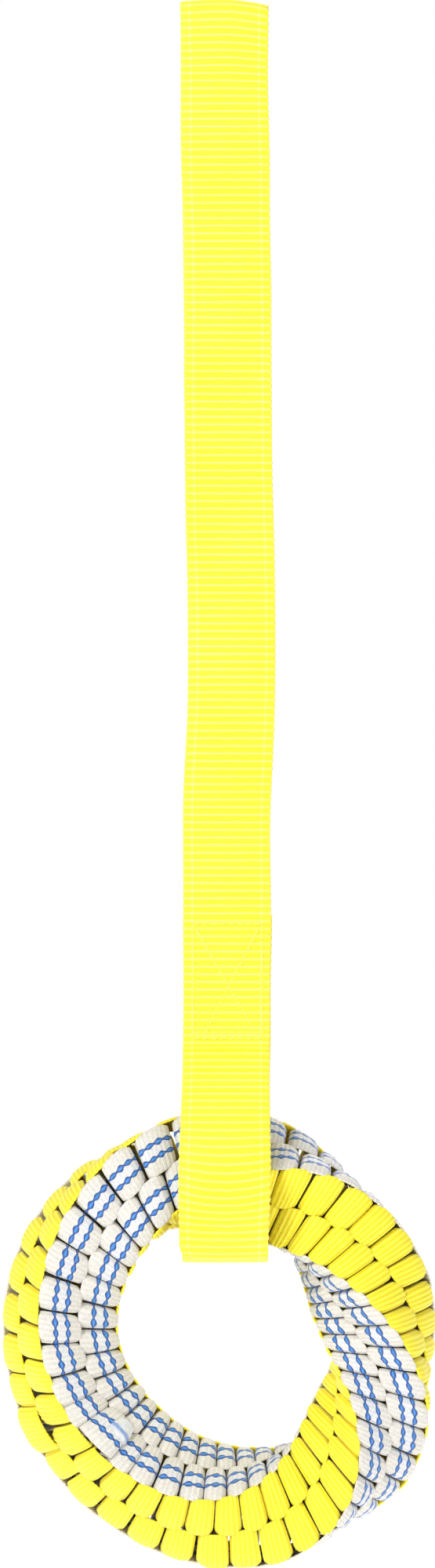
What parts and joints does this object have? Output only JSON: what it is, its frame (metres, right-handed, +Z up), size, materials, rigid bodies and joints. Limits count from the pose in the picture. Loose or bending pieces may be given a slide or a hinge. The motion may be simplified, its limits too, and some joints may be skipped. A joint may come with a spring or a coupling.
{
  "type": "gymnastics hand ring",
  "caption": "Braided webbing hand ring that swings in the sewn eye of a long doubled webbing sling, to be hung from a bar, hook or strap.",
  "frame": {"origin": "inside of the sling's top fold, where it hangs from its support", "axes": "+Z up along the hanging sling, +X to the right across the webbing's width, the front faces -Y"},
  "size_m": [0.1906, 0.0696, 0.679],
  "materials": {
    "sling_webbing": "ribbed woven polyester webbing with a low sheen",
    "stitching_thread": "bonded polyester sewing thread with a low sheen",
    "yellow_webbing": "ribbed woven webbing with a low sheen",
    "striped_webbing": "off-white woven webbing with two beaded blue stripes"
  },
  "bodies": {
    "hanging_sling": {"sling": "sling_webbing", "needle_thread": "stitching_thread", "bobbin_thread": "stitching_thread"},
    "hand_ring": {"yellow_strand_a": "yellow_webbing", "yellow_strand_b": "yellow_webbing", "white_strand_a": "striped_webbing", "white_strand_b": "striped_webbing"}
  },
  "joints": [
    {"name": "ring_swing", "type": "hinge", "parent": "hanging_sling", "child": "hand_ring", "pos_m": [0, 0, -0.50846], "axis": [1, 0, 0], "range_deg": [-150, 150]}
  ]
}
